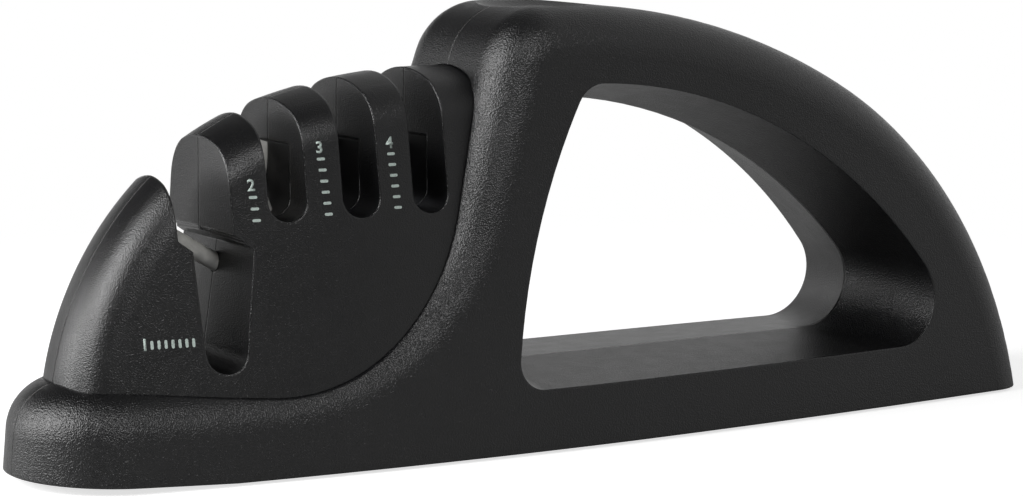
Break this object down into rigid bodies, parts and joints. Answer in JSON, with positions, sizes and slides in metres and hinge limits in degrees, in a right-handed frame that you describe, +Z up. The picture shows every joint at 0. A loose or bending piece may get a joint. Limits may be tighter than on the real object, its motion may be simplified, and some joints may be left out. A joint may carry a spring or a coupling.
{
  "type": "pull through knife sharpener",
  "caption": "Black D-handled pull through knife sharpener: a long base, a sloping head with knife slots and a wider scissors slot, and an arched grip behind it.",
  "frame": {"origin": "on the resting plane under the rubber feet, below the middle of the object", "axes": "+X from the nose to the rear of the handle, +Y to the far side, +Z up"},
  "size_m": [0.2081, 0.0508, 0.0793],
  "materials": {
    "case_abs": "spark eroded texture",
    "head_abs": "fine spark eroded texture",
    "plate_abs": "satin moulded",
    "holder_nylon": "satin moulded",
    "alumina_ceramic": "ground ceramic",
    "diamond_coated_steel": "grit coated",
    "tungsten_carbide": "ground",
    "zinc_plated_steel": "zinc plated",
    "black_steel": "black oxide",
    "foot_rubber": "matt"
  },
  "bodies": {
    "root": {"case_half_near": "case_abs", "case_half_far": "case_abs", "head_half_near": "head_abs", "head_half_far": "head_abs", "scissors_rod": "alumina_ceramic", "fine_rod_near": "alumina_ceramic", "fine_rod_far": "alumina_ceramic", "fine_rod_holder": "holder_nylon", "coarse2_rod_holder": "holder_nylon", "coarse1_blade_holder": "holder_nylon", "coarse2_rod_near": "diamond_coated_steel", "coarse2_rod_far": "diamond_coated_steel", "coarse1_blade_near": "tungsten_carbide", "coarse1_blade_far": "tungsten_carbide", "coarse1_blade_screws": "black_steel", "case_screws": "zinc_plated_steel", "head_screws": "zinc_plated_steel", "base_plate_screws": "zinc_plated_steel", "base_plate": "plate_abs", "rubber_foot_front_near": "foot_rubber", "rubber_foot_front_far": "foot_rubber", "rubber_foot_rear_near": "foot_rubber", "rubber_foot_rear_far": "foot_rubber"}
  },
  "joints": []
}
